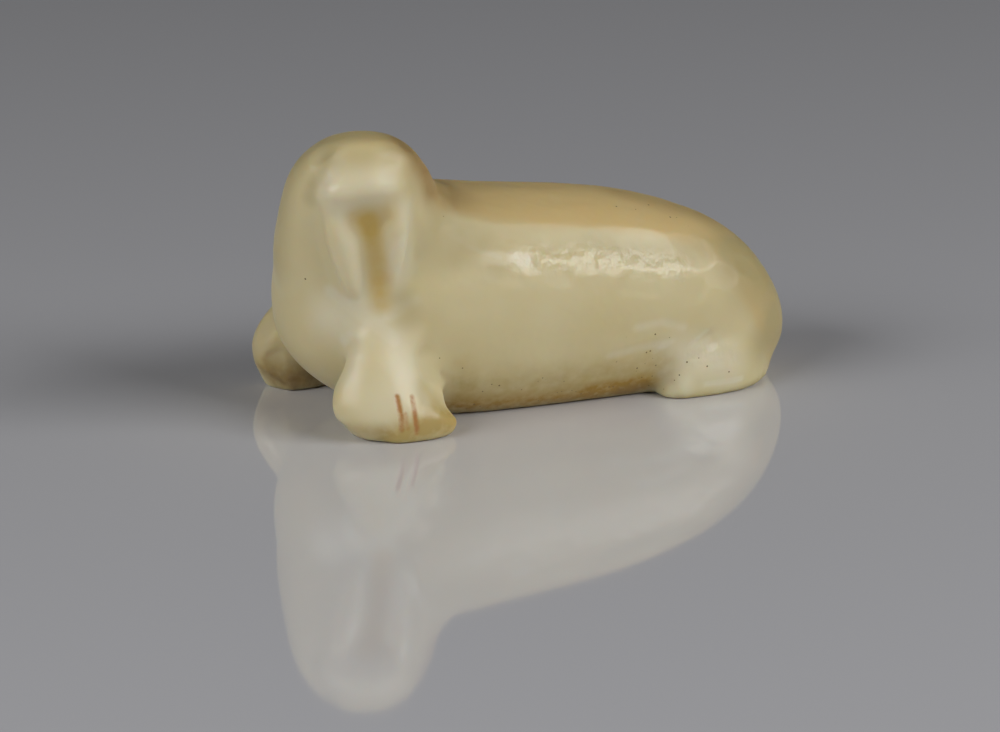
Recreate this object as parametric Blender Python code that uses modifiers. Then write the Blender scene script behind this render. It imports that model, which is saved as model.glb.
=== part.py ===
"""A small walrus carved from one piece of ivory, lying on its belly with its head turned to its left.

+X runs from the head to the tail, -Y is the walrus's left side and +Z is up. Lengths are written in
millimetres and made metres at the end. The masses are lofted between stations, fused with a voxel
remesh and smoothed as a polisher would. The forehead is then planed, channels are cut in the face, and
the underside is cut flat.
"""

import math

import bmesh
import bpy
import numpy as np
from mathutils import Matrix, Vector

METRES = 0.001
RING_POINTS = 16
BODY_GRAIN = 0.3  # voxel size of the fused masses
FACE_GRAIN = 0.2

# Passes of smoothing after each voxel remesh.
TORSO_POLISH = 14
LIMB_POLISH = 6
FACE_POLISH = 12
CUT_POLISH = 4

TRIANGLES = 8200  # before the underside is cut off
SHARP_ANGLE = math.radians(50)  # the rim of the flat underside
SOLE_SNAP = 0.06  # points nearer than this to the ground are set down on it
SIDES = (-1, 1)  # the walrus's left, then its right
IVORY = (0.49, 0.41, 0.22, 1.0)
IVORY_ROUGHNESS = 0.35

# How square each ring is: 2 is an ellipse, and more fills its corners.
NECK_SQUARENESS = 2.1
TORSO_SQUARENESS = 2.3
FLIPPER_SQUARENESS = 2.3
BLUNT_SQUARENESS = 2.4  # hind flippers, muzzle and tusks

# Torso stations: X, half width, underside, ridge, sideways shift.
TORSO = [
    (19.6, 1.7, 2.0, 4.8, -0.9),
    (18.9, 3.3, 0.8, 6.6, -0.7),
    (17.2, 5.2, -0.6, 9.6, -0.4),
    (14.5, 6.7, -1.4, 11.8, -0.2),
    (11.0, 7.6, -1.5, 13.3, 0.0),
    (6.0, 8.0, -1.6, 14.8, 0.0),
    (0.0, 8.1, -1.6, 15.5, 0.0),
    (-5.0, 8.0, -1.6, 16.1, 0.0),
    (-8.5, 7.8, -1.3, 16.8, 0.0),
    (-12.5, 7.2, -0.3, 16.4, 0.3),
    (-16.0, 6.1, 1.5, 14.9, 0.7),
    (-18.2, 4.5, 3.6, 13.0, 0.9),
    (-19.3, 2.4, 5.8, 10.6, 1.0),
]

# Neck and head stations: height, centre X and Y, half width across the face, half depth.
FACE_TURN = math.radians(15)  # how far the face looks forward of square to the body
NECK = [
    (5.0, -12.0, 0.6, 6.0, 5.6),
    (8.0, -12.4, 0.5, 6.9, 6.2),
    (11.0, -12.9, 0.2, 7.0, 6.0),
    (13.5, -13.5, -0.5, 6.5, 5.6),
    (15.8, -14.1, -1.5, 5.8, 5.3),
    (17.8, -14.6, -2.5, 5.35, 5.1),
    (19.6, -14.75, -3.3, 4.5, 4.4),
    (20.9, -14.85, -3.9, 3.05, 3.3),
    (21.45, -14.95, -4.1, 1.6, 1.8),
]

# The face's own frame: across to the walrus's left, out of the face, and up.
FACE_POINT = Vector((-16.3, -7.5, 18.1))
HEAD_TILT = math.radians(5)

# The muzzle, a bar across the face: distance from the middle, half depth, half height.
MUZZLE = [(0.0, 1.15, 1.1), (1.5, 1.3, 1.15), (2.6, 1.25, 1.1), (3.2, 0.8, 0.7)]
MUZZLE_SET_BACK = 1.0
FOREHEAD_POINT = (0.0, 0.15, 0.5)  # in the face's frame, on the plane that slopes back to the crown
FOREHEAD_SLOPE = math.radians(36)

# Each tusk, lying on the chest: drop below the muzzle, distance from the face's middle, half width.
TUSK = [
    (0.4, 2.20, 0.75, 0.8),
    (1.6, 2.12, 0.9, 0.9),
    (2.6, 1.92, 1.12, 1.0),
    (3.6, 1.76, 1.26, 1.0),
    (5.4, 1.56, 1.08, 0.9),
    (7.4, 1.22, 0.74, 0.75),
    (8.8, 1.00, 0.42, 0.4),
]
TUSK_MIDDLE = 0.2  # how far the pair sits to the left of the muzzle's middle
TUSK_SET_BACK = 1.05
TUSK_LEAN = 0.16  # how fast a tusk falls back towards the chest

# Channels cut in the face: start and end as (across, up), radius, depth.
FACE_CUTS = [
    ((-0.65, -2.5), (1.2, -2.1), 1.0, 0.7),
    ((0.0, -2.9), (0.4, -2.8), 0.9, 0.35),
    ((0.25, -2.4), (0.4, -8.1), 0.8, 0.85),
    ((-4.1, 0.7), (-3.9, -0.9), 1.6, 0.25),
    ((4.1, 0.7), (3.9, -0.9), 1.6, 0.25),
]

# Front flippers: height, centre X, distance from the middle, half length, half width.
LEFT_FRONT_FLIPPER = [
    (10.0, -13.6, 4.0, 1.2, 1.0),
    (7.8, -14.0, 5.4, 1.8, 1.4),
    (5.6, -14.2, 6.3, 2.9, 1.8),
    (3.6, -14.2, 7.0, 3.9, 2.2),
    (2.0, -14.0, 7.4, 4.5, 2.5),
    (0.8, -13.7, 7.4, 4.15, 2.5),
    (0.0, -13.4, 7.4, 3.8, 2.45),
    (-1.0, -13.2, 7.3, 3.3, 2.2),
]
RIGHT_FRONT_FLIPPER = [
    (10.0, -13.8, 4.0, 1.4, 1.0),
    (8.0, -14.4, 5.6, 2.3, 1.6),
    (6.0, -15.0, 6.8, 3.0, 2.1),
    (4.3, -15.2, 7.6, 3.7, 2.4),
    (2.8, -15.3, 7.9, 3.8, 2.5),
    (1.0, -15.1, 7.8, 3.3, 2.2),
    (-1.0, -14.9, 7.7, 2.8, 1.8),
]
FLIPPER_TURN = math.radians(8)

# Hind flippers, folded forward under the rump: X, distance from the middle, half width, low, high.
HIND_FLIPPER = [
    (8.0, 6.0, 1.6, -2.6, 2.6),
    (8.8, 5.8, 2.0, -2.6, 4.0),
    (11.5, 5.5, 2.4, -2.6, 5.2),
    (14.0, 5.1, 2.5, -2.6, 5.6),
    (15.9, 4.0, 2.35, -2.2, 5.2),
    (17.4, 2.8, 1.8, -1.0, 4.4),
    (18.6, 2.0, 1.0, 1.0, 3.6),
]


def loft(name, rings):
    """A closed skin through rings given as (matrix, half_a, half_b, squareness)."""
    bm = bmesh.new()
    loops = []
    for matrix, half_a, half_b, squareness in rings:
        made = bmesh.ops.create_circle(bm, cap_ends=False, segments=RING_POINTS, radius=1.0)["verts"]
        power = 2.0 / squareness
        for vert in made:
            a = math.copysign(abs(vert.co.x) ** power, vert.co.x) * half_a
            b = math.copysign(abs(vert.co.y) ** power, vert.co.y) * half_b
            vert.co = matrix @ Vector((a, b, 0.0))
        loops.append({edge for vert in made for edge in vert.link_edges})
    for first, second in zip(loops, loops[1:]):
        bmesh.ops.bridge_loops(bm, edges=list(first | second))
    bmesh.ops.holes_fill(bm, edges=bm.edges[:], sides=0)
    bmesh.ops.recalc_face_normals(bm, faces=bm.faces[:])
    mesh = bpy.data.meshes.new(name)
    bm.to_mesh(mesh)
    bm.free()
    body = bpy.data.objects.new(name, mesh)
    bpy.context.scene.collection.objects.link(body)
    rounding = body.modifiers.new("Rounding", "SUBSURF")
    rounding.levels = rounding.render_levels = 2
    return body


def upright_ring(x, y, z):
    """A ring's frame square to the X axis: a runs along Y, b along Z."""
    return Matrix.Translation((x, y, z)) @ Matrix(((0, 0, 1, 0), (1, 0, 0, 0), (0, 1, 0, 0), (0, 0, 0, 1)))


def face_frame():
    """Columns across, out of the face and up, at the middle of the muzzle."""
    turn = Matrix.Rotation(-FACE_TURN, 4, "Z")
    tilt = Matrix.Rotation(-HEAD_TILT, 4, "Y")
    return Matrix.Translation(FACE_POINT) @ turn @ tilt @ Matrix.Diagonal((1, -1, 1, 1))


def make_torso():
    rings = []
    for x, half_width, low, high, side in TORSO:
        matrix = upright_ring(x, side, (low + high) / 2)
        rings.append((matrix, half_width, (high - low) / 2, TORSO_SQUARENESS))
    return loft("torso", rings)


def make_neck():
    rings = []
    for z, x, y, half_width, half_depth in NECK:
        matrix = Matrix.Translation((x, y, z)) @ Matrix.Rotation(-FACE_TURN, 4, "Z")
        rings.append((matrix, half_width, half_depth, NECK_SQUARENESS))
    return loft("neck", rings)


def make_front_flipper(side, stations):
    rings = []
    for z, x, out, half_length, half_width in stations:
        matrix = Matrix.Translation((x, side * out, z)) @ Matrix.Rotation(side * FLIPPER_TURN, 4, "Z")
        rings.append((matrix, half_length, half_width, FLIPPER_SQUARENESS))
    return loft("front_flipper", rings)


def make_hind_flipper(side):
    rings = []
    for x, out, half_width, low, high in HIND_FLIPPER:
        matrix = upright_ring(x, side * out, (low + high) / 2)
        rings.append((matrix, half_width, (high - low) / 2, BLUNT_SQUARENESS))
    return loft("hind_flipper", rings)


def make_muzzle():
    rings = []
    right = [(-across, depth, height) for across, depth, height in reversed(MUZZLE[1:])]
    for across, half_depth, half_height in right + MUZZLE:
        matrix = face_frame() @ upright_ring(across, -MUZZLE_SET_BACK, 0.0)
        rings.append((matrix, half_depth, half_height, BLUNT_SQUARENESS))
    return loft("muzzle", rings)


def make_tusk(side):
    rings = []
    for drop, out, half_width, half_depth in TUSK:
        back = -TUSK_SET_BACK - TUSK_LEAN * drop
        matrix = face_frame() @ Matrix.Translation((TUSK_MIDDLE + side * out, back, -drop))
        rings.append((matrix, half_width, half_depth, BLUNT_SQUARENESS))
    return loft("tusk", rings)


def join(name, pieces):
    """One object holding the evaluated skins of all the pieces."""
    bm = bmesh.new()
    graph = bpy.context.evaluated_depsgraph_get()
    for piece in pieces:
        bm.from_mesh(bpy.data.meshes.new_from_object(piece.evaluated_get(graph)))
        bpy.data.objects.remove(piece)
    mesh = bpy.data.meshes.new(name)
    bm.to_mesh(mesh)
    bm.free()
    whole = bpy.data.objects.new(name, mesh)
    bpy.context.scene.collection.objects.link(whole)
    return whole


def apply_modifiers(body):
    graph = bpy.context.evaluated_depsgraph_get()
    body.data = bpy.data.meshes.new_from_object(body.evaluated_get(graph))
    body.modifiers.clear()


def reskin(body, grain, smoothing):
    """One closed skin over everything in the object, polished so that its creases soften."""
    skin = body.modifiers.new("Skin", "REMESH")
    skin.mode = "VOXEL"
    skin.voxel_size = grain
    polish = body.modifiers.new("Polish", "SMOOTH")
    polish.iterations = smoothing
    apply_modifiers(body)


def get_points(body):
    points = np.empty(3 * len(body.data.vertices), dtype=np.float32)
    body.data.vertices.foreach_get("co", points)
    return points.reshape(-1, 3)


def set_points(body, points):
    body.data.vertices.foreach_set("co", points.ravel())
    body.data.update()


def flatten(body, frame, point, tilt):
    """Cuts back what stands proud of a plane that faces out of the frame, tilted up by an angle."""
    normal = np.array(frame.to_3x3() @ Vector((0, math.cos(tilt), math.sin(tilt))))
    points = get_points(body)
    proud = np.clip((points - np.array(frame @ Vector(point))) @ normal, 0, None)
    set_points(body, points - proud[:, None] * normal)


def carve(body, frame, start, end, radius, depth, reach=3.0):
    """Scoops a round-ended channel, laid out in the plane that the frame's second axis faces out of."""
    points = get_points(body)
    inverse = np.array(frame.inverted())
    local = points @ inverse[:3, :3].T + inverse[:3, 3]
    flat = local[:, [0, 2]]
    start, run = np.array(start), np.array(end) - np.array(start)
    along = np.clip((flat - start) @ run / (run @ run), 0, 1)
    distance = np.linalg.norm(flat - start - along[:, None] * run, axis=1)
    share = np.clip(1 - (distance / radius) ** 2, 0, 1) ** 2
    share[np.abs(local[:, 1]) > reach] = 0
    set_points(body, points - share[:, None] * depth * np.array(frame.col[1][:3]))


def cut_flat(body):
    """Cuts the underside off at the ground and closes it with one flat face."""
    bm = bmesh.new()
    bm.from_mesh(body.data)
    for vert in bm.verts:
        if abs(vert.co.z) < SOLE_SNAP:
            vert.co.z = 0.0
    whole = bm.verts[:] + bm.edges[:] + bm.faces[:]
    ground = {"plane_co": (0, 0, 0), "plane_no": (0, 0, -1)}
    bmesh.ops.bisect_plane(bm, geom=whole, dist=1e-4, clear_outer=True, **ground)
    rim = [edge for edge in bm.edges if edge.is_boundary]
    bmesh.ops.holes_fill(bm, edges=rim, sides=0)
    bmesh.ops.triangulate(bm, faces=bm.faces[:])
    bm.to_mesh(body.data)
    bm.free()


def thin_out(body):
    """Keeps the triangles where the surface turns most."""
    body.data.calc_loop_triangles()
    fewer = body.modifiers.new("Fewer", "DECIMATE")
    fewer.ratio = TRIANGLES / len(body.data.loop_triangles)
    fewer.use_collapse_triangulate = True
    apply_modifiers(body)


def set_origin(body):
    """Puts the origin under the middle of the bounding box and turns millimetres into metres."""
    points = get_points(body)
    middle = (points.min(axis=0) + points.max(axis=0)) / 2
    middle[2] = 0.0
    set_points(body, (points - middle) * METRES)


def make_ivory():
    ivory = bpy.data.materials.new("ivory")
    ivory.use_nodes = True
    shader = ivory.node_tree.nodes["Principled BSDF"]
    shader.inputs["Base Color"].default_value = IVORY
    shader.inputs["Roughness"].default_value = IVORY_ROUGHNESS
    shader.inputs["Metallic"].default_value = 0.0
    return ivory


def main():
    for thing in list(bpy.data.objects):
        bpy.data.objects.remove(thing)
    walrus = join("walrus", [make_torso(), make_neck()])
    reskin(walrus, BODY_GRAIN, TORSO_POLISH)
    limbs = [make_front_flipper(-1, LEFT_FRONT_FLIPPER), make_front_flipper(1, RIGHT_FRONT_FLIPPER)]
    limbs += [make_hind_flipper(side) for side in SIDES]
    walrus = join("walrus", [walrus] + limbs)
    reskin(walrus, BODY_GRAIN, LIMB_POLISH)
    face = [make_muzzle()] + [make_tusk(side) for side in SIDES]
    walrus = join("walrus", [walrus] + face)
    reskin(walrus, FACE_GRAIN, FACE_POLISH)
    flatten(walrus, face_frame(), FOREHEAD_POINT, FOREHEAD_SLOPE)
    for cut in FACE_CUTS:
        carve(walrus, face_frame(), *cut)
    reskin(walrus, FACE_GRAIN, CUT_POLISH)
    thin_out(walrus)
    cut_flat(walrus)
    set_origin(walrus)
    walrus.data.shade_smooth()
    walrus.data.set_sharp_from_angle(angle=SHARP_ANGLE)
    walrus.data.materials.append(make_ivory())
    group = bpy.data.collections.new("walrus_carving")
    bpy.context.scene.collection.children.link(group)
    group.objects.link(walrus)
    bpy.context.scene.collection.objects.unlink(walrus)


main()
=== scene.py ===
import math
import random

import bmesh
import bpy
import numpy as np
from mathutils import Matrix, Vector
from mathutils.kdtree import KDTree


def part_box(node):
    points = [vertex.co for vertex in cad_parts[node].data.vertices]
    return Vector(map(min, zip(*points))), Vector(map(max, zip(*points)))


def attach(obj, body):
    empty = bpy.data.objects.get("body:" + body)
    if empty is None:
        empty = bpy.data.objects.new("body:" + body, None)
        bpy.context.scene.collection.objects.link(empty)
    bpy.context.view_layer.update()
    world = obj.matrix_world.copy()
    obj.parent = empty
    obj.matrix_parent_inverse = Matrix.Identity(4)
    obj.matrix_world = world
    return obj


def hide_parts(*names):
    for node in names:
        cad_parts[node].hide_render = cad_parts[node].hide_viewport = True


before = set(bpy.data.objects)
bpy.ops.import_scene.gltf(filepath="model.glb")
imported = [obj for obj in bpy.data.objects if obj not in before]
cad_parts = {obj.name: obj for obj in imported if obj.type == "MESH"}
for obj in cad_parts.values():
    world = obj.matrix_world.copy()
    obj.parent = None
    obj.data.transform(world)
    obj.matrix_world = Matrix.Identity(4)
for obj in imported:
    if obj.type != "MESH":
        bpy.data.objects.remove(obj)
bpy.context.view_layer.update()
mm = 0.001
low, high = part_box("walrus")


def place(along, across, up):  # mm from the head end, from the walrus's left side and from the ground
    return Vector((low.x + along * mm, low.y + across * mm, low.z + up * mm))


def hexToLinear(code):
    channels = [int(code[i:i + 2], 16) / 255 for i in (1, 3, 5)]
    return tuple(c / 12.92 if c <= 0.04045 else ((c + 0.055) / 1.055) ** 2.4 for c in channels) + (1.0,)


def addNode(tree, kind, inputs=None, **settings):  # a node, its settings, and its values or links
    node = tree.nodes.new("ShaderNode" + kind)
    for name, value in settings.items():
        setattr(node, name, value)
    for name, value in (inputs or {}).items():
        if isinstance(value, bpy.types.NodeSocket):
            tree.links.new(value, node.inputs[name])
        else:
            node.inputs[name].default_value = value
    return node


# The carved body: a fine skin over the solid, rubbed, filled, planed and cut like the real ivory.
carving = {
    "grain": 0.2,                  # mm, voxel of the skin
    "polish": 12,                  # smoothing passes over the skin
    "evenNormals": 4,              # smoothing passes over its normals, for the channels and hollows
    "softened": [                  # places rubbed rounder: path, radius in mm, passes
        ([(0.9, 3.4, 18.6), (5.6, 1.9, 18.6)], 2.6, 60),
        ([(1.7, 4.2, 19.9), (1.3, 4.2, 19.2)], 1.8, 120),
        ([(5.8, 2.8, 20.1), (5.9, 2.3, 19.4)], 2.0, 140),
        ([(1.4, 3.6, 17.0), (6.0, 2.1, 17.0)], 1.8, 90),
        ([(9.9, 4.4, 15.5), (10.2, 4.2, 11.5)], 2.2, 120),
        ([(27.5, 3.2, 4.6), (33.5, 2.8, 5.2)], 2.0, 90),
        ([(3.6, 4.8, 9.0), (3.0, 5.2, 6.4)], 1.5, 40),
        ([(26.6, 3.0, 3.6), (28.2, 2.6, 3.2)], 2.2, 160),
        ([(2.2, 2.8, 0.3), (2.6, 1.6, 0.3), (3.6, 0.6, 0.3)], 1.6, 120),
        ([(6.2, 2.2, 6.4), (7.0, 1.3, 4.4), (7.6, 0.9, 3.2)], 2.0, 220),
        ([(3.7, 4.6, 8.2), (4.8, 3.4, 7.6), (7.0, 2.9, 7.8)], 2.2, 140),
        ([(6.9, 3.0, 7.6), (8.0, 2.1, 5.1), (9.2, 1.7, 2.6)], 2.4, 320),
    ],
    "fullHollow": 0.15,            # mm, a hollow this deep is filled as far as its passes go
    "filled": [                    # hollows made shallower: path, radius in mm, passes
        ([(3.6, 4.0, 16.0), (4.5, 4.9, 15.3), (5.0, 4.4, 12.5), (5.4, 4.5, 9.4)], 2.6, 160),
        ([(3.6, 4.0, 16.0), (4.5, 4.5, 15.3), (5.0, 4.0, 12.5), (5.4, 4.3, 9.4)], 2.6, 160),
        ([(3.6, 3.8, 16.0), (4.5, 4.0, 15.3), (5.0, 3.8, 12.5), (5.4, 4.1, 9.4)], 2.6, 160),
        ([(3.0, 3.0, 17.0), (5.8, 2.4, 16.6)], 1.6, 80),
        ([(1.2, 5.6, 15.2), (2.5, 5.6, 11.5), (3.6, 4.8, 9.6)], 1.8, 100),
        ([(7.4, 3.5, 15.1), (7.0, 3.7, 12.2), (6.2, 3.8, 10.0)], 1.8, 100),
        ([(10.2, 5.4, 16.2), (11.6, 8.0, 16.2), (12.2, 11.0, 16.2)], 3.0, 200),
        ([(9.8, 5.2, 17.0), (10.8, 8.0, 16.8), (11.4, 11.0, 16.8)], 3.4, 260),
        ([(26.7, 4.0, 0.8), (27.3, 3.4, 1.9)], 2.0, 90),
    ],
    "rubbed": [                    # places rubbed after the knife
        ([(9.0, 2.2, 5.0), (9.2, 1.7, 3.6), (9.5, 1.2, 2.6)], 1.8, 200),
        ([(9.9, 4.4, 16.0), (10.6, 4.5, 14.8), (10.6, 3.8, 12.5)], 2.8, 220),
        ([(4.0, 3.6, 15.4), (4.6, 3.8, 13.5), (5.2, 4.0, 10.5)], 2.4, 130),
    ],
    "moved": [                     # path, radius in mm and the way it is pushed in mm
        ([(27.8, 3.4, 0.2), (27.9, 3.8, 0.2)], 1.2, (-0.4, -0.1, 0)),
        ([(9.9, 5.4, 17.2), (10.6, 6.4, 17.0), (11.4, 8.2, 16.6)], 2.2, (0.12, -0.1, 0.28)),
        ([(0.9, 17.2, 0.4), (1.6, 16.4, 0.2)], 1.8, (0.5, 0.3, 0)),
        ([(8.9, 2.3, 5.6), (9.2, 1.9, 4.4)], 2.0, (-0.75, 0.1, 0)),
        ([(9.3, 0.8, 1.4), (9.1, 0.9, 2.0), (9.2, 1.0, 2.8)], 1.9, (0.65, 0, 0)),
        ([(1.7, 3.2, 2.6), (1.8, 3.6, 3.4)], 1.9, (-0.3, 0, 0)),
    ],
    "planed": [                    # flat cuts: place, the way the flat faces, depth and reach in mm
        ((13.2, 4.3, 13.8), (0.02, -0.78, 0.62), 0.12, 3.0),
        ((17.0, 3.8, 13.1), (0.07, -0.79, 0.61), 0.14, 3.0),
        ((20.8, 3.6, 12.4), (0.03, -0.80, 0.60), 0.14, 3.0),
        ((24.0, 3.5, 12.0), (0.10, -0.80, 0.59), 0.17, 3.2),
        ((26.6, 3.2, 11.0), (0.12, -0.82, 0.56), 0.17, 3.2),
        ((29.2, 3.8, 10.8), (0.24, -0.78, 0.58), 0.10, 3.0),
        ((15.9, 2.95, 11.7), (0.10, -0.90, 0.43), 0.06, 1.3),
        ((20.4, 2.85, 11.2), (0.08, -0.91, 0.40), 0.05, 1.6),
        ((22.6, 2.8, 10.8), (0.12, -0.90, 0.42), 0.05, 1.3),
        ((18.2, 2.6, 10.4), (0.05, -0.95, 0.30), 0.04, 1.8),
        ((25.0, 2.3, 8.2), (0.08, -0.96, 0.27), 0.03, 2.2),
        ((28.9, 2.6, 8.4), (0.16, -0.96, 0.20), 0.05, 2.0),
        ((31.6, 3.2, 9.0), (0.26, -0.90, 0.36), 0.08, 2.6),
        ((34.4, 4.2, 8.6), (0.48, -0.72, 0.50), 0.06, 3.4),
        ((36.9, 6.6, 8.2), (0.76, -0.30, 0.57), 0.06, 3.4),
        ((36.2, 3.9, 5.6), (0.58, -0.81, 0.08), 0.08, 3.2),
        ((31.4, 2.42, 3.1), (0.04, -0.98, 0.19), 0.06, 2.2),
        ((30.4, 2.55, 4.0), (0.05, -0.92, 0.38), 0.04, 1.2),
        ((31.6, 2.3, 1.4), (0.03, -1.0, -0.03), 0.08, 3.4),
        ((7.9, 4.9, 20.4), (0.58, -0.30, 0.76), 0.08, 2.2),
        ((1.3, 6.2, 20.4), (-0.68, -0.20, 0.70), 0.10, 2.2),
        ((1.2, 16.6, 4.6), (-0.88, -0.30, 0.36), 0.14, 1.8),
        ((2.4, 16.0, 2.0), (-0.62, -0.76, -0.18), 0.14, 1.8),
    ],
    "seed": 7,
    "facetSpacing": 3.0,           # mm between the smaller cuts of the knife
    "facetReach": 2.8,             # mm, the longest one can be to each side
    "facetDepth": (0.01, 0.03),    # mm taken off
    "facetTilt": 2.0,              # degrees either way
    "facetFade": 0.3,              # share of its reach over which a cut runs out
    "facetTurn": 0.8,              # cosine, skin that faces further away than this isn't cut
    "facetPolish": 1,              # smoothing passes after the knife
    "hollowPasses": 60,            # smoothing passes that find the hollows, which the knife leaves alone
    "faceEnd": 10.5,               # mm along, the face and the arms end here
    "crownFrom": 20,               # mm up, the crown begins here
    "scooped": [                   # channels: path, radius and depth in mm
        ([(1.48, 5.1, 20.2), (0.95, 5.0, 19.0), (0.67, 5.6, 17.2)], 1.0, 0.06),
        ([(5.26, 0.72, 3.41), (5.34, 0.26, 2.27), (5.36, 0.12, 1.11)], 0.28, 0.04),
        ([(5.70, 0.25, 2.30), (5.81, 0.08, 1.20)], 0.20, 0.02),
        ([(6.42, 0.60, 3.32), (6.40, 0.15, 2.11), (6.49, 0.03, 0.79)], 0.28, 0.04),
        ([(24.7, 2.1, 5.9), (26.7, 2.2, 6.1), (28.6, 2.35, 5.5)], 0.5, 0.03),
        ([(22.7, 2.4, 4.0), (24.65, 2.3, 4.3), (27.2, 2.4, 4.4)], 0.5, 0.03),
        ([(11.6, 3.7, 13.3), (13.0, 3.3, 12.6), (14.3, 3.1, 12.1)], 0.6, 0.03),
        ([(29.5, 2.5, 3.1), (31.2, 2.5, 3.8)], 0.5, 0.03),
        ([(29.2, 2.6, 4.0), (30.6, 2.6, 4.9)], 0.5, 0.03),
        ([(30.3, 2.1, 1.0), (31.8, 2.2, 1.0), (33.4, 2.5, 1.0)], 0.5, 0.03),
    ],
    "refined": ([(5.3, 0.5, 3.2), (6.0, 0.1, 1.0)], 2.0),   # the skin is finer here: path, radius in mm
    "sole": 0.04,                  # mm, skin lower than this is pressed flat on the ground
}


def readPoints(mesh):
    points = np.empty(3 * len(mesh.vertices), np.float32)
    mesh.vertices.foreach_get("co", points)
    return points.reshape(-1, 3).astype(float)


def readNormals(mesh):
    normals = np.empty(3 * len(mesh.vertices), np.float32)
    mesh.vertex_normals.foreach_get("vector", normals)
    return normals.reshape(-1, 3).astype(float)


def writePoints(mesh, points):
    mesh.vertices.foreach_set("co", points.astype(np.float32).ravel())
    mesh.update()


def blur(mesh, values, passes):  # each value goes halfway to its neighbours' mean, again and again
    ends = np.empty(2 * len(mesh.edges), np.int32)
    mesh.edges.foreach_get("vertices", ends)
    first, second = ends.reshape(-1, 2).T
    count = len(mesh.vertices)
    degree = np.maximum(np.bincount(first, minlength=count) + np.bincount(second, minlength=count), 1)
    columns = values.reshape(count, -1).copy()
    for _ in range(passes):
        for k in range(columns.shape[1]):
            total = np.bincount(first, columns[second, k], count)
            total += np.bincount(second, columns[first, k], count)
            columns[:, k] = 0.5 * columns[:, k] + 0.5 * total / degree
    return columns.reshape(values.shape)


def nearness(points, path, radius):  # 1 on a path laid out with place(), 0 from the radius on
    spots = [np.array(place(*spot)) for spot in path]
    closest = np.full(len(points), np.inf)
    for start, end in zip(spots, spots[1:]):
        run = end - start
        along = np.clip((points - start) @ run / (run @ run), 0, 1)
        closest = np.minimum(closest, np.linalg.norm(points - start - along[:, None] * run, axis=1))
    return np.clip(1 - (closest / (radius * mm)) ** 2, 0, 1) ** 2


def smoothStep(values, start, end):
    t = np.clip((values - start) / (end - start), 0, 1)
    return t * t * (3 - 2 * t)


def skinOf(node):  # a fine closed skin over the solid's own form
    bm = bmesh.new()
    bm.from_mesh(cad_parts[node].data)
    bmesh.ops.remove_doubles(bm, verts=bm.verts, dist=1e-6)
    mesh = bpy.data.meshes.new("carvedWalrus")
    bm.to_mesh(mesh)
    bm.free()
    body = bpy.data.objects.new("carvedWalrus", mesh)
    bpy.context.scene.collection.objects.link(body)
    skin = body.modifiers.new("Skin", "REMESH")
    skin.mode = "VOXEL"
    skin.voxel_size = carving["grain"] * mm
    graph = bpy.context.evaluated_depsgraph_get()
    body.data = bpy.data.meshes.new_from_object(body.evaluated_get(graph))
    body.data.name = "carvedWalrus"
    body.modifiers.clear()
    writePoints(body.data, blur(body.data, readPoints(body.data), carving["polish"]))
    return body


def soften(body, places):
    for path, radius, passes in places:
        points = readPoints(body.data)
        share = nearness(points, path, radius)[:, None]
        writePoints(body.data, points + share * (blur(body.data, points, passes) - points))


def fill(body):
    mesh = body.data
    for path, radius, passes in carving["filled"]:
        points = readPoints(mesh)
        away = blur(mesh, points, passes) - points
        hollow = smoothStep((away * readNormals(mesh)).sum(axis=1) / mm, 0, carving["fullHollow"])
        writePoints(mesh, points + (hollow * nearness(points, path, radius))[:, None] * away)


def push(body):
    for path, radius, way in carving["moved"]:
        points = readPoints(body.data)
        writePoints(body.data, points + nearness(points, path, radius)[:, None] * np.array(way) * mm)


def planeOff(points, normals, near, centre, normal, depth, reach):  # one flat cut of a knife or file
    proud = (points[near] - centre) @ normal + depth
    away = np.linalg.norm(points[near] - centre, axis=1)
    share = smoothStep(reach - away, 0, carving["facetFade"] * reach)
    share *= normals[near] @ normal > carving["facetTurn"]
    points[near] -= (share * np.clip(proud, 0, 2 * depth))[:, None] * normal


def knifeFacets(body):
    mesh = body.data
    points, normals = readPoints(mesh), readNormals(mesh)
    smoothed = blur(mesh, points, carving["hollowPasses"])
    sunk = ((smoothed - points) * normals).sum(axis=1)   # above 0 in a hollow
    tree = KDTree(len(points))
    for i, point in enumerate(points):
        tree.insert(point, i)
    tree.balance()
    along, up = ((points - np.array(low))[:, k] / mm for k in (0, 2))
    facesDown = normals[:, 2] < -0.5
    faceOrArms = (along < carving["faceEnd"]) & (up < carving["crownFrom"])
    taken = facesDown | (sunk > 0) | faceOrArms   # the knife doesn't start a cut here
    for spot, facing, depth, reach in carving["planed"]:
        start = points[tree.find(place(*spot))[1]].copy()
        near = np.array([j for _, j, _ in tree.find_range(start, reach * mm)])
        taken[near] = True
        normal = np.array(Vector(facing).normalized())
        planeOff(points, normals, near, start, normal, depth * mm, reach * mm)
    dice = random.Random(carving["seed"])
    order = list(range(len(points)))
    dice.shuffle(order)
    reach = carving["facetReach"] * mm
    lean = math.sin(math.radians(carving["facetTilt"]))
    cuts = len(carving["planed"])
    for i in order:
        if taken[i]:
            continue
        for _, j, _ in tree.find_range(points[i], carving["facetSpacing"] * mm):
            taken[j] = True
        near = np.array([j for _, j, _ in tree.find_range(points[i], reach)])
        depth = dice.uniform(*carving["facetDepth"]) * mm
        tilt = Vector([dice.uniform(-1, 1) for _ in range(3)]) * lean
        normal = np.array((Vector(normals[i]) + tilt).normalized())
        planeOff(points, normals, near, points[i].copy(), normal, depth, reach)
        cuts += 1
    writePoints(mesh, blur(mesh, points, carving["facetPolish"]))
    print("knife facets:", cuts)


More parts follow.
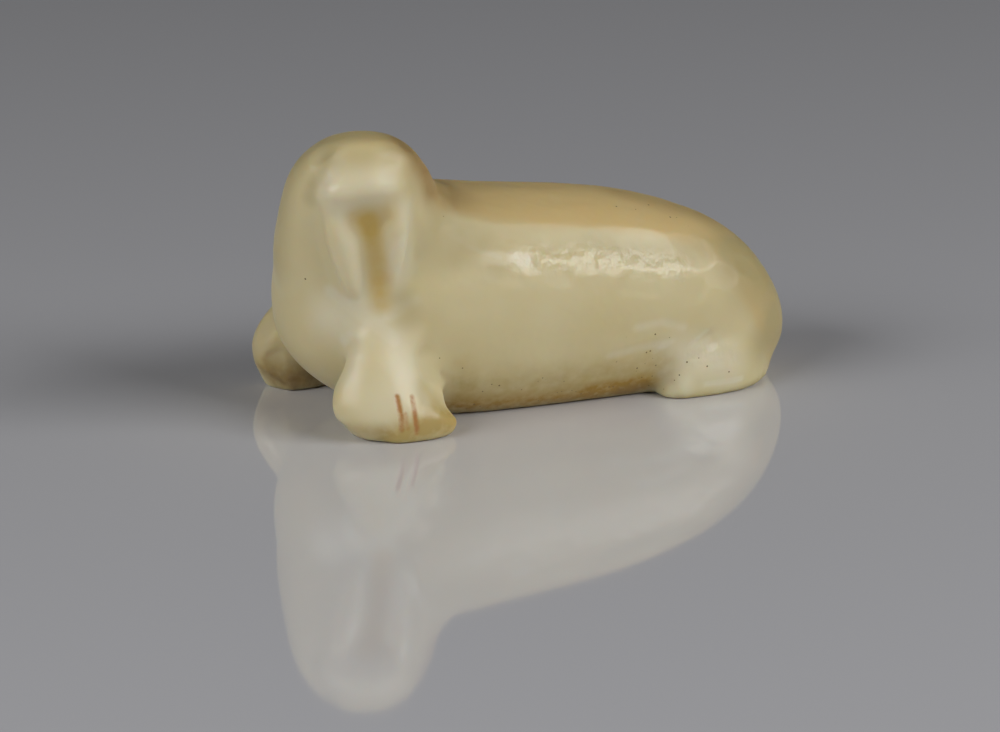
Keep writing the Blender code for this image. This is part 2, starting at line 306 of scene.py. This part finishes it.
def refine(body):
    path, radius = carving["refined"]
    share = nearness(readPoints(body.data), path, radius)
    bm = bmesh.new()
    bm.from_mesh(body.data)
    edges = [edge for edge in bm.edges if all(share[vert.index] > 0 for vert in edge.verts)]
    bmesh.ops.subdivide_edges(bm, edges=edges, cuts=2, use_grid_fill=True)
    bm.to_mesh(body.data)
    bm.free()


def scoop(body):
    mesh = body.data
    for path, radius, depth in carving["scooped"]:
        points = readPoints(mesh)
        outwards = blur(mesh, readNormals(mesh), carving["evenNormals"])
        writePoints(mesh, points - (nearness(points, path, radius) * depth * mm)[:, None] * outwards)


def settle(body):  # the underside lies flat on the ground
    points = readPoints(body.data)
    sole = points[:, 2] < low.z + carving["sole"] * mm
    points[sole, 2] = low.z
    writePoints(body.data, points)


# Where the colour of the ivory changes, and where highlight and shade are painted into it: strokes as
# path, radius in mm and strength.
marks = {
    # paler ivory on the muzzle, tusks, chest and flippers, with painted highlights and painted light
    # where marked below
    "paleAndPaintedLight": [
        ([(0.9, 3.2, 18.4), (5.0, 1.8, 18.6)], 2.4, 1.0),
        ([(2.3, 3.6, 16.5), (3.2, 4.2, 12.0), (4.6, 4.6, 9.5)], 1.6, 0.9),
        ([(6.6, 2.8, 16.5), (6.7, 3.2, 12.5), (6.0, 3.8, 9.5)], 1.6, 0.9),
        ([(2.3, 5.9, 8.1), (5.9, 2.9, 7.2), (6.0, 1.6, 4.6), (4.2, 0.9, 2.8)], 3.0, 0.7),
        ([(2.0, 6.3, 9.4), (3.0, 5.3, 8.0)], 2.0, 0.2),
        # painted light: lifts the shade on the wall of the notch in front of the hind flipper
        ([(28.4, 2.6, 0.9), (27.8, 3.0, 1.6)], 1.5, 0.8),
        # painted highlight along the left edge of the near arm
        ([(3.1, 3.3, 5.8), (2.6, 3.0, 4.8)], 1.6, 0.8),
        ([(6.3, 3.0, 14.0), (5.9, 3.0, 12.2)], 1.1, 0.6),
        # painted highlight along the far flipper's outer edge
        ([(1.4, 16.3, 5.0), (1.2, 16.6, 3.6)], 1.4, 0.7),
        ([(28.5, 2.4, 3.2), (31.8, 2.4, 2.4)], 3.0, 0.9),
        ([(28.5, 17.6, 3.2), (31.8, 17.4, 2.4)], 3.0, 0.7),
        # painted highlight: the bright flat on the flank
        ([(15.4, 3.1, 11.95), (16.5, 3.0, 11.6)], 0.8, 0.8),
        ([(24.7, 2.1, 5.9), (26.7, 2.2, 6.1), (28.6, 2.35, 5.5)], 0.5, 0.6),
        ([(22.7, 2.4, 4.0), (24.65, 2.3, 4.3), (27.2, 2.4, 4.4)], 0.5, 0.6),
        # painted highlights along the crossing creases of the near arm
        ([(2.3, 5.9, 10.3), (3.5, 5.0, 9.3), (4.6, 4.0, 8.3), (5.95, 2.7, 7.0)], 0.7, 0.7),
        ([(7.7, 3.2, 9.6), (6.35, 3.6, 8.8), (3.2, 5.2, 6.7)], 0.7, 0.7),
        # painted highlight: the line of glints from the neck to the bright flat
        ([(11.6, 3.7, 13.3), (13.0, 3.3, 12.6), (14.3, 3.1, 12.1)], 0.35, 0.6),
        # painted highlights: the crisp glints on the hind flipper
        ([(29.5, 2.5, 3.1), (31.2, 2.5, 3.8)], 0.35, 0.8),
        ([(29.2, 2.6, 4.0), (30.6, 2.6, 4.9)], 0.3, 0.6),
        ([(26.3, 2.5, 3.8), (27.7, 2.4, 4.5)], 0.35, 0.5),
        # painted highlight along the hind flipper's sole edge
        ([(30.3, 2.1, 1.0), (31.8, 2.2, 1.0), (33.4, 2.5, 1.0)], 0.3, 0.9),
    ],
    "oliveAndPaintedShade": [                     # a duller tone on the rump's end, and painted shade there and on the temples, crown, far flipper and other places turned from the lamps
        ([(35.0, 4.0, 9.0), (37.5, 6.5, 6.5), (38.0, 7.0, 3.0)], 4.5, 1.0),
        ([(33.0, 4.2, 11.0), (36.5, 9.0, 9.5)], 3.0, 0.6),
        ([(0.4, 8.0, 19.5), (-0.2, 9.5, 16.0), (0.2, 10.5, 12.0)], 3.0, 0.7),
        ([(1.48, 5.1, 20.2), (0.95, 5.0, 19.0), (0.67, 5.6, 17.2)], 1.0, 0.4),
        ([(1.8, 16.6, 5.5), (1.2, 16.8, 2.5)], 3.5, 0.6),
        ([(10.0, 5.0, 15.0), (10.2, 4.4, 12.0)], 2.4, 0.5),
        ([(2.6, 6.4, 21.2), (5.4, 5.6, 21.3), (7.4, 6.4, 21.0)], 2.2, 0.8),
        ([(1.8, 4.4, 20.2), (4.0, 3.6, 20.4), (6.0, 3.6, 20.6)], 1.6, 0.4),
        ([(7.6, 0.9, 3.6), (8.4, 0.6, 2.6)], 1.6, 0.5),
        ([(6.9, 3.5, 9.6), (7.2, 3.4, 8.4)], 1.6, 0.6),
        ([(35.5, 3.8, 3.0), (36.8, 4.6, 4.0)], 2.4, 0.7),
        ([(22.0, 3.6, 12.1), (26.1, 3.1, 11.0), (29.5, 3.6, 10.8), (30.8, 4.4, 11.0)], 1.7, 0.4),
        ([(11.8, 3.8, 13.0), (13.6, 3.2, 12.0)], 2.4, 0.4),
    ],
    # darker tan: the ivory's tone, with painted shade on the head's right edge turned from the lamps, in
    # the crease of the neck and along the back's top rim
    "tan": [
        ([(7.4, 4.4, 20.4), (7.9, 4.1, 19.7), (8.7, 4.1, 18.6), (9.4, 4.5, 17.6)], 2.4, 0.5),
        ([(7.6, 5.2, 20.6), (8.4, 4.8, 19.8), (9.6, 5.0, 18.2)], 2.4, 0.5),
        ([(9.8, 4.8, 17.0), (11.0, 6.0, 16.2), (12.5, 6.6, 15.8)], 2.4, 0.3),
        ([(10.6, 6.4, 16.6), (11.8, 8.3, 16.6), (12.3, 10.5, 16.6)], 2.2, 0.5),
        ([(13.0, 8.6, 16.1), (17.4, 9.8, 15.6), (24.0, 9.8, 14.7)], 1.8, 0.15),
        ([(26.4, 9.1, 14.2), (29.0, 8.4, 13.6), (33.0, 8.0, 12.2)], 2.4, 0.4),
    ],
    "toast": [
        ([(2.4, 1.6, 0.6), (3.6, 0.6, 0.6)], 1.6, 0.5),
        ([(4.6, 0.2, 0.4), (5.6, 0.1, 0.7), (9.4, 0.7, 0.9)], 1.7, 1.0),
        ([(11.3, 16.2, 2.2), (19.0, 16.9, 2.0), (26.0, 17.2, 2.2)], 2.9, 0.6),
        ([(7.4, 0.4, 1.8), (9.2, 0.9, 2.4)], 1.6, 0.5),
        ([(12.5, 3.7, 2.2), (19.0, 3.2, 2.0), (26.4, 3.1, 2.2)], 2.9, 0.6),
        ([(11.3, 3.0, 4.4), (11.6, 3.6, 1.5)], 1.5, 0.3),
        ([(28.4, 2.8, 0.0), (30.0, 2.1, 0.0), (34.5, 3.0, 0.0), (36.0, 4.5, 0.3)], 0.8, 0.6),
    ],
    "stain": [
        ([(11.3, 4.6, 0.8), (19.5, 4.2, 0.6), (25.3, 4.2, 0.6)], 2.0, 0.8),
        ([(22.0, 3.7, 0.8), (26.1, 3.6, 1.2)], 1.5, 0.8),
        ([(1.4, 16.6, 1.2), (4.5, 15.6, 1.2)], 2.2, 0.5),
        ([(11.3, 15.5, 0.8), (19.5, 15.9, 0.6), (25.6, 15.9, 0.6)], 1.9, 0.7),
    ],
    # darker brown at the lowest edges; under the far flipper it is painted shade
    "umberAndPaintedShade": [
        ([(24.4, 3.9, 0.4), (26.2, 3.9, 0.7)], 1.2, 0.45),
        ([(2.0, 16.2, 0.9), (5.0, 15.6, 0.9)], 2.2, 0.6),
        ([(11.3, 5.2, 0.4), (19.5, 4.8, 0.3), (25.6, 4.8, 0.3)], 1.2, 0.3),
    ],
    "ochre": [
        ([(3.8, 3.7, 15.8), (4.3, 3.7, 15.5)], 1.9, 0.45),
        ([(3.2, 3.4, 16.5), (5.5, 2.8, 16.3)], 1.2, 0.3),
        ([(4.4, 3.6, 15.7), (4.9, 3.8, 13.6), (5.2, 3.9, 11.8), (5.5, 4.2, 9.5)], 1.35, 0.75),
    ],
    "rust": [
        ([(5.26, 0.72, 3.41), (5.34, 0.26, 2.27), (5.36, 0.12, 1.11)], 0.32, 0.9),
        ([(5.68, 0.25, 2.20), (5.78, 0.08, 1.20)], 0.28, 0.4),
        ([(6.42, 0.60, 3.32), (6.40, 0.15, 2.11), (6.49, 0.03, 0.79)], 0.32, 0.9),
    ],
    "tooled": [                    # the file's chatter shows
        ([(15.8, 3.0, 11.8), (20.5, 3.0, 11.4), (25.5, 3.0, 10.6), (28.6, 3.2, 9.7)], 1.7, 0.9),
        ([(29.5, 2.5, 3.4), (33.0, 2.5, 2.8)], 1.5, 0.6),
    ],
    "matt": [                      # rubbed less
        ([(9.4, 4.6, 16.8), (10.3, 4.4, 14.8), (10.4, 3.9, 12.6)], 2.8, 1.0),
        ([(5.6, 2.2, 19.2), (6.2, 2.4, 18.6)], 2.0, 0.6),
        ([(7.0, 2.8, 6.6), (8.2, 1.8, 4.6), (8.8, 1.2, 2.8)], 1.8, 0.7),
    ],
    "pitted": [
        ([(23.5, 2.8, 4.6), (26.4, 2.8, 3.6), (27.4, 2.6, 3.4)], 2.2, 0.45),
        ([(11.3, 15.8, 1.4), (19.5, 16.2, 1.2), (26.6, 16.6, 1.4)], 2.2, 0.6),
        ([(11.3, 4.2, 1.4), (19.5, 3.8, 1.2), (26.6, 3.6, 1.4)], 2.2, 1.0),
        ([(25.0, 2.6, 3.4), (33.5, 2.6, 2.8)], 2.5, 0.2),
        ([(9.8, 2.4, 4.6), (10.6, 3.0, 3.0)], 1.6, 0.6),
        ([(22.0, 6.0, 14.2), (30.0, 6.5, 12.8)], 3.0, 0.2),
    ],
}

# The yellow of age on the back, with painted shade on the top that turns from the lamps, and grime with
# painted shade in the hollows: lengths in mm.
ageing = {
    "patinaAndShadeEdge": [                # along and up, the yellowed back, also painted shade, begins above this line
        (-5, 21.8), (8, 21.0), (9.2, 17.5), (10.2, 15.8), (11, 15.2), (13.2, 14.6), (15.8, 14.0),
        (17.6, 13.6), (20.3, 13.25), (23.5, 12.8), (26.9, 12.2), (29.1, 11.2), (30.6, 10.5),
        (32.1, 9.4), (33.2, 7.9), (34.7, 5.0), (36.5, 2.0), (40, -4),
    ],
    "patinaAndShadeFade": (-0.4, 0.6),     # it comes in from here to here above the line
    "rump": (29, 34),              # along, the fade widens from here to here
    "rumpFade": 3,                 # times as wide as elsewhere
    "hollowShadeDepth": (0.08, 0.35),  # the grime and painted shade begin in hollows this deep and are full in these
    "hollowShadePasses": 80,           # smoothing passes that tell how deep a hollow is
}


def addMasks(body):
    mesh = body.data
    points, normals = readPoints(mesh), readNormals(mesh)
    along = (points[:, 0] - low.x) / mm
    up = (points[:, 2] - low.z) / mm
    smoothed = blur(mesh, points, ageing["hollowShadePasses"])
    outwards = blur(mesh, normals, carving["evenNormals"])
    sunk = ((smoothed - points) * outwards).sum(axis=1) / mm
    masks = {}
    for name, strokes in marks.items():
        painted = sum(strength * nearness(points, path, radius) for path, radius, strength in strokes)
        masks[name] = np.clip(painted, 0, 1)
    # painted shade with the yellow of age: the top above the line, which turns from the lamps, takes the
    # patina colour
    above = up - np.interp(along, *zip(*ageing["patinaAndShadeEdge"]))
    spread = 1 + (ageing["rumpFade"] - 1) * smoothStep(along, *ageing["rump"])
    masks["patinaAndTopShade"] = smoothStep(above / spread, *ageing["patinaAndShadeFade"])
    # painted shade with grime: every hollow is darkened by its depth
    hollowShade = smoothStep(sunk, *ageing["hollowShadeDepth"])
    masks["hollowGrimeAndShade"] = hollowShade * (1 - masks["paleAndPaintedLight"]) * (1 - masks["ochre"])
    for name, values in masks.items():
        layer = mesh.attributes.new(name, "FLOAT", "POINT")
        layer.data.foreach_set("value", values.astype(np.float32))


def makeWalrus():
    body = skinOf("walrus")
    fill(body)
    soften(body, carving["softened"])
    push(body)
    knifeFacets(body)
    soften(body, carving["rubbed"])
    refine(body)
    scoop(body)
    settle(body)
    addMasks(body)
    body.data.shade_smooth()
    print("walrus:", sum(len(face.vertices) - 2 for face in body.data.polygons), "triangles")
    return body


# Walrus ivory, carved, waxed and handled: a creamy, slightly translucent body under a soft sheen,
# yellowed on the back and holding brown stains low down and in the cuts, with painted shade and a few
# painted highlights laid into its colour.
ivory = {
    "cream": "#DDD1A6",
    "shade": "#D8C999",
    "patchGrain": 7.0,     # mm, size of the patches of shade in the cream
    "patchStart": 0.35,    # the noise's value where a patch begins
    "patchEdge": 3.0,      # how sharply it does
    "layers": [   # mask, colour, grain of its break-up in mm, how much it breaks up
        # paler ivory, with painted highlights and painted light
        ("paleAndPaintedLight", "#E3DABB", 4.0, 0.3),
        # yellow of age, with painted shade on the top
        ("patinaAndTopShade", "#DBC188", 5.0, 0.2),
        # duller ivory, with painted shade
        ("oliveAndPaintedShade", "#BDAD7C", 4.0, 0.2),
        # darker tan, with painted shade
        ("tan", "#A68A58", 3.0, 0.2),
        # grime and painted shade in the hollows
        ("hollowGrimeAndShade", "#B89755", 1.5, 0.4),
        ("toast", "#BCA564", 0.9, 0.4),
        ("stain", "#B08A22", 0.6, 0.5),
        # dark brown low down, with painted shade under the far flipper
        ("umberAndPaintedShade", "#7A6238", 0.8, 0.4),
        ("ochre", "#D2B362", 0.9, 0.15),
        ("rust", "#B98648", 0.5, 0.7),
    ],
    "pore": "#7A6236",
    "poreSpacing": 0.3,    # mm
    "poreSize": 0.075,     # mm, radius
    "poreShare": 0.002,    # share of the places that have a pore
    "pittedShare": 0.35,   # and how many more do where it is pitted
    "chatter": 0.45,       # mm between the file's marks
    "dent": 0.8,           # mm between the dents along them
    "dentHeight": 2.6,     # times the marks' own
    "ripple": 2.2,         # mm between the hollows left by the scraper
    "rippleHeight": 1.2,   # times the marks' own
    "relief": 0.05,        # mm, height of the file's marks
    "growth": 0.6,         # mm between the growth lines, which run along the body
    "growthRoughness": 0.1,
    "roughness": 0.4,
    "mattRoughness": 0.4,  # added where it is rubbed less
    "ior": 1.54,
    "translucency": 0.8,   # share of the light that goes into it
    "lightReach": 2.0,     # mm that light goes into it
    "lightTint": (1.0, 0.65, 0.35),   # red goes in deepest
    "wax": 0.12,           # how much its coat shows
    "filedWax": 0.24,      # added where the file has left it crisp
    "waxRoughness": 0.2,
}


def makeIvory():
    material = bpy.data.materials.new("polishedWalrusIvory")
    material.use_nodes = True
    tree = material.node_tree
    shader = tree.nodes["Principled BSDF"]
    spot = addNode(tree, "TexCoord").outputs["Object"]

    def noise(grain, detail=3.0, stretch=(1, 1, 1)):
        mapped = addNode(tree, "Mapping", {"Vector": spot, "Scale": stretch})
        inputs = {"Vector": mapped.outputs[0], "Scale": 1 / (grain * mm), "Detail": detail}
        return addNode(tree, "TexNoise", inputs).outputs["Fac"]

    def mask(name):
        return addNode(tree, "Attribute", attribute_name=name).outputs["Fac"]

    def maths(operation, a, b, clamp=False):
        return addNode(tree, "Math", {0: a, 1: b}, operation=operation, use_clamp=clamp).outputs[0]

    def blend(factor, a, b):
        return addNode(tree, "Mix", {"Factor": factor, 6: a, 7: b}, data_type="RGBA").outputs[2]

    patches = maths("SUBTRACT", noise(ivory["patchGrain"]), ivory["patchStart"])
    patches = maths("MULTIPLY", patches, ivory["patchEdge"], True)
    colour = blend(patches, hexToLinear(ivory["cream"]), hexToLinear(ivory["shade"]))
    for name, code, grain, bite in ivory["layers"]:
        # The noise keeps within about a quarter of 0.5, so four times that is all of the bite.
        broken = maths("MULTIPLY", maths("SUBTRACT", noise(grain), 0.5), 4 * bite)
        share = maths("MULTIPLY", mask(name), maths("ADD", broken, 1.0), True)
        colour = blend(share, colour, hexToLinear(code))
    cells = addNode(tree, "TexVoronoi", {"Vector": spot, "Scale": 1 / (ivory["poreSpacing"] * mm)})
    pick = addNode(tree, "SeparateColor", {0: cells.outputs["Color"]})
    size = maths("MULTIPLY", pick.outputs[1], ivory["poreSize"] / ivory["poreSpacing"])
    dot = maths("LESS_THAN", cells.outputs["Distance"], size)
    chance = maths("ADD", maths("MULTIPLY", mask("pitted"), ivory["pittedShare"]), ivory["poreShare"])
    chosen = maths("LESS_THAN", pick.outputs[0], chance)
    colour = blend(maths("MULTIPLY", dot, chosen), colour, hexToLinear(ivory["pore"]))
    tree.links.new(colour, shader.inputs["Base Color"])

    acrossBody, alongBody = (1, 0.2, 0.2), (0.12, 1, 1)   # a pattern is drawn out where this is small
    marksOfFile = maths("SUBTRACT", noise(ivory["chatter"], 1.0, acrossBody), 0.5)
    dents = maths("SUBTRACT", noise(ivory["dent"], 2.0), 0.5)
    dents = maths("MULTIPLY", dents, ivory["dentHeight"])
    tooled = maths("MULTIPLY", maths("ADD", marksOfFile, dents), mask("tooled"))
    ripples = maths("MULTIPLY", noise(ivory["ripple"], 2.0), ivory["rippleHeight"])
    worked = maths("ADD", ripples, tooled)
    bump = addNode(tree, "Bump", {"Height": worked, "Strength": 1.0, "Distance": ivory["relief"] * mm})
    tree.links.new(bump.outputs[0], shader.inputs["Normal"])
    tree.links.new(bump.outputs[0], shader.inputs["Coat Normal"])
    growth = maths("MULTIPLY", noise(ivory["growth"], 4.0, alongBody), ivory["growthRoughness"])
    rough = maths("ADD", growth, maths("MULTIPLY", mask("matt"), ivory["mattRoughness"]))
    tree.links.new(maths("ADD", rough, ivory["roughness"]), shader.inputs["Roughness"])
    shader.inputs["IOR"].default_value = ivory["ior"]
    shader.inputs["Subsurface Weight"].default_value = ivory["translucency"]
    shader.inputs["Subsurface Radius"].default_value = ivory["lightTint"]
    shader.inputs["Subsurface Scale"].default_value = ivory["lightReach"] * mm
    gleam = maths("ADD", maths("MULTIPLY", mask("tooled"), ivory["filedWax"]), ivory["wax"])
    tree.links.new(gleam, shader.inputs["Coat Weight"])
    shader.inputs["Coat Roughness"].default_value = ivory["waxRoughness"]
    print("ivory mixed:", len(ivory["layers"]), "colours over the cream")
    return material


# The floor, the lights and the camera. An azimuth runs in degrees from the left side towards the tail.
stage = {
    "floorHalf": 0.5,              # m from its middle to its edges
    "floorColour": "#D2D2D6",
    "floorRoughness": 0.05,
    "floorIor": 2.0,               # above acrylic's 1.49, for a stronger mirror image
    "boxes": [                     # name, azimuth, elevation, distance, width and height in m, radiance
        ("rightBox", 40, 32.5, 0.6, 0.44, 0.22, 7.1),
        ("leftBox", -76, 31, 0.6, 0.44, 0.23, 5.45),
        ("backFill", 156, 8, 0.6, 0.6, 0.2, 0.6),
    ],
    "worldColour": "#C8C8CC",
    "worldStrength": 0.006,
    "azimuth": -24,
    "elevation": 16,
    "distance": 380,               # mm from the camera to what it aims at
    "aim": (17.878, 11.167, 1.484),
    "lens": 186.05,                # mm
    "sensor": 36,                  # mm
    "clip": (0.01, 10),            # m
}


def makeFloor():
    bm = bmesh.new()
    bmesh.ops.create_grid(bm, x_segments=1, y_segments=1, size=stage["floorHalf"])
    mesh = bpy.data.meshes.new("floor")
    bm.to_mesh(mesh)
    bm.free()
    floor = bpy.data.objects.new("floor", mesh)
    floor.location = (0, 0, low.z)
    bpy.context.scene.collection.objects.link(floor)
    # Glossy pale plastic: the carving shows in it as in still water, a little dimmer.
    material = bpy.data.materials.new("glossyAcrylicSheet")
    material.use_nodes = True
    shader = material.node_tree.nodes["Principled BSDF"]
    shader.inputs["Base Color"].default_value = hexToLinear(stage["floorColour"])
    shader.inputs["Roughness"].default_value = stage["floorRoughness"]
    shader.inputs["IOR"].default_value = stage["floorIor"]
    mesh.materials.append(material)
    print("floor laid")


def direction(azimuth, elevation):  # from the object towards a place round it
    a, e = math.radians(azimuth), math.radians(elevation)
    return Vector((math.sin(a) * math.cos(e), -math.cos(a) * math.cos(e), math.sin(e)))


def softLight(name, azimuth, elevation, distance, width, height, radiance):
    data = bpy.data.lights.new(name, "AREA")
    data.shape = "RECTANGLE"
    data.size, data.size_y = width, height
    data.energy = radiance * math.pi * width * height
    lamp = bpy.data.objects.new(name, data)
    back = direction(azimuth, elevation)
    lamp.location = back * distance
    lamp.rotation_euler = back.to_track_quat("Z", "Y").to_euler()
    bpy.context.scene.collection.objects.link(lamp)
    return lamp


def makeLights():
    lamps = [softLight(*box) for box in stage["boxes"]]
    lamps[-1].visible_glossy = False   # the weak one isn't mirrored in the polish or the floor
    world = bpy.data.worlds.new("room")
    world.use_nodes = True
    background = world.node_tree.nodes["Background"]
    background.inputs["Color"].default_value = hexToLinear(stage["worldColour"])
    background.inputs["Strength"].default_value = stage["worldStrength"]
    bpy.context.scene.world = world
    print("lights set: two soft boxes and a weak one behind")


def makeCamera():
    data = bpy.data.cameras.new("camera")
    data.sensor_width = stage["sensor"]
    data.lens = stage["lens"]
    data.clip_start, data.clip_end = stage["clip"]
    camera = bpy.data.objects.new("camera", data)
    back = direction(stage["azimuth"], stage["elevation"])
    camera.location = place(*stage["aim"]) + back * stage["distance"] * mm
    camera.rotation_euler = back.to_track_quat("Z", "Y").to_euler()
    bpy.context.scene.collection.objects.link(camera)
    bpy.context.scene.camera = camera
    print("camera placed")


walrus = makeWalrus()
walrus.data.materials.append(makeIvory())
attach(walrus, "root")
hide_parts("walrus")
makeFloor()
makeLights()
makeCamera()
bpy.context.scene.view_settings.view_transform = "Standard"
